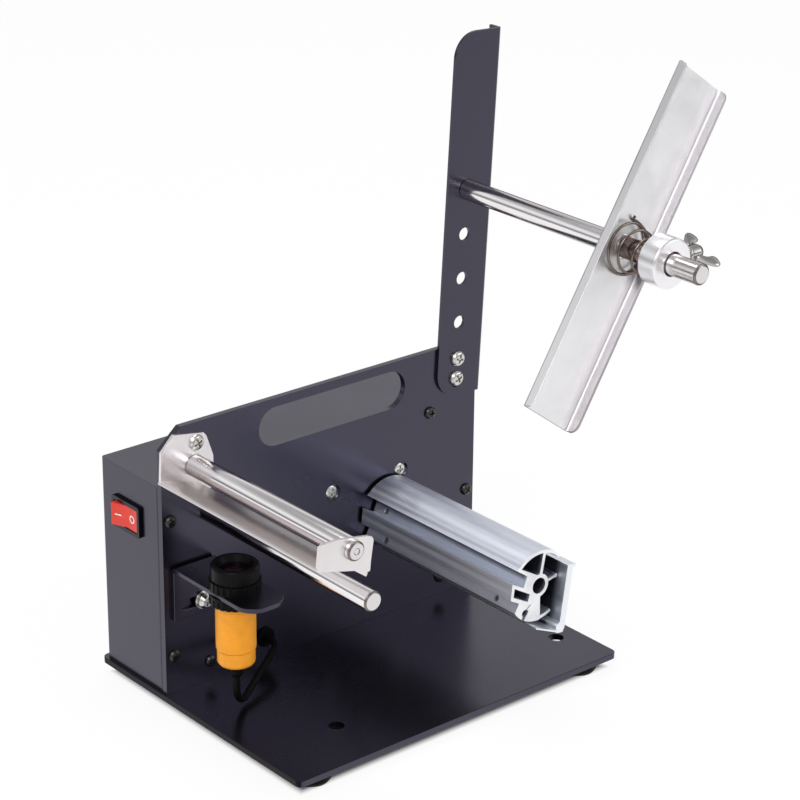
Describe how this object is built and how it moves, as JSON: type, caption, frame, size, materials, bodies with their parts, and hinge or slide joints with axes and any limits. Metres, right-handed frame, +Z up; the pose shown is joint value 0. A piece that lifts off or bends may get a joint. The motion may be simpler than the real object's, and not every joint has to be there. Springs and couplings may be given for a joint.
{
  "type": "label dispenser machine",
  "caption": "Desktop label dispenser: folded steel body, peel plate with guide roller, barrel sensor on a bracket, motor-driven rewind drum with clamp bar, post with label reel shaft and bar.",
  "frame": {"origin": "middle of the whole machine seen from above, on the plane that the rubber feet rest on", "axes": "+X right along the front panel, +Y towards the back of the machine, +Z up"},
  "size_m": [0.2394, 0.2008, 0.2866],
  "materials": {
    "powder_black": "satin powder coat",
    "rubber_black": "matte",
    "black_screw": "black oxide",
    "zinc": "zinc plated",
    "bright_screw": "nickel plated",
    "steel_rod": "ground",
    "satin_aluminium": "satin anodised",
    "spring_wire": "dark nickel",
    "turned_aluminium": "turned",
    "stainless_sheet": "fine brushed",
    "orange_body": "glossy",
    "dark_lens": "polished",
    "black_plastic": "moulded",
    "cable_jacket": "matte",
    "extruded_aluminium": "extruded, anodised",
    "bright_aluminium": "mill finish",
    "cast_zinc": "die cast",
    "red_plastic": "glossy",
    "brass": "tinned",
    "board_green": "solder mask",
    "wire_red": "insulated"
  },
  "bodies": {
    "frame": {"base_plate": "powder_black", "rubber_feet": "rubber_black", "base_screws": "black_screw", "panel_brackets": "zinc", "cover_feet": "zinc", "front_panel": "powder_black", "panel_screws": "black_screw", "rear_cover": "powder_black", "reel_post": "powder_black", "post_screws": "bright_screw", "post_nuts": "zinc", "reel_shaft": "steel_rod", "shaft_washer": "zinc", "shaft_nut": "zinc", "peel_plate": "stainless_sheet", "peel_plate_screws": "bright_screw", "lower_rod": "steel_rod", "lower_rod_nut": "zinc", "bracket_screw": "bright_screw", "bracket_washer": "zinc", "bracket_nut": "zinc", "sensor_cable": "cable_jacket", "cable_grommet": "rubber_black", "gearbox": "cast_zinc", "motor": "zinc", "motor_screws": "bright_screw", "switch_frame": "black_plastic", "switch_terminals": "brass", "power_socket": "black_plastic", "socket_pin": "zinc", "socket_nut": "zinc", "control_board": "board_green", "board_spacers": "brass", "board_screws": "bright_screw", "board_parts": "black_plastic", "wiring": "wire_red"},
    "drum": {"rewind_drum": "extruded_aluminium", "drum_set_screws": "black_screw", "output_shaft": "steel_rod"},
    "clamp_bar": {"drum_clip": "bright_aluminium"},
    "guide_roller": {"peel_roller": "steel_rod"},
    "rocker": {"switch_rocker": "red_plastic"},
    "sensor_slide": {"sensor_bracket": "powder_black", "sensor_body": "orange_body", "sensor_lens": "dark_lens", "sensor_upper_nut": "black_plastic", "sensor_lower_nut": "black_plastic", "sensor_hood": "black_plastic", "cable_boot": "black_plastic"},
    "collar": {"shaft_collar": "turned_aluminium"},
    "clamp_screw": {"wing_screw": "spring_wire"},
    "spring": {"reel_spring": "spring_wire"},
    "bar": {"reel_bar": "satin_aluminium"}
  },
  "joints": [
    {"name": "drum_spin", "type": "hinge", "parent": "frame", "child": "drum", "pos_m": [0.01255, 0.0003, 0.0632], "axis": [0, 1, 0], "continuous": true},
    {"name": "clamp_bar_pull", "type": "slide", "parent": "drum", "child": "clamp_bar", "axis": [0, -1, 0], "range_m": [0, 0.106]},
    {"name": "roller_spin", "type": "hinge", "parent": "frame", "child": "guide_roller", "pos_m": [-0.09875, -0.0047, 0.1168], "axis": [0, 1, 0], "continuous": true},
    {"name": "switch_rock", "type": "hinge", "parent": "frame", "child": "rocker", "pos_m": [-0.11435, 0.0773, 0.087], "axis": [0, 0, -1], "range_deg": [0, 22]},
    {"name": "sensor_shift", "type": "slide", "parent": "frame", "child": "sensor_slide", "axis": [1, 0, 0], "range_m": [-0.0025, 0.0095], "deforming": ["sensor_cable"]},
    {"name": "collar_shift", "type": "slide", "parent": "frame", "child": "collar", "axis": [0, 1, 0], "range_m": [-0.014, 0.084]},
    {"name": "clamp_screw_turn", "type": "hinge", "parent": "collar", "child": "clamp_screw", "pos_m": [0.07773, -0.07775, 0.21177], "axis": [1, 0, 0], "range_deg": [0, 360]},
    {"name": "bar_spin", "type": "hinge", "parent": "collar", "child": "spring", "pos_m": [0.05773, -0.0597, 0.21177], "axis": [0, 1, 0], "continuous": true},
    {"name": "bar_press", "type": "slide", "parent": "spring", "child": "bar", "axis": [0, -1, 0], "range_m": [0, 0.004], "stiffness_N_per_m": 300, "deforming": ["reel_spring"]}
  ]
}
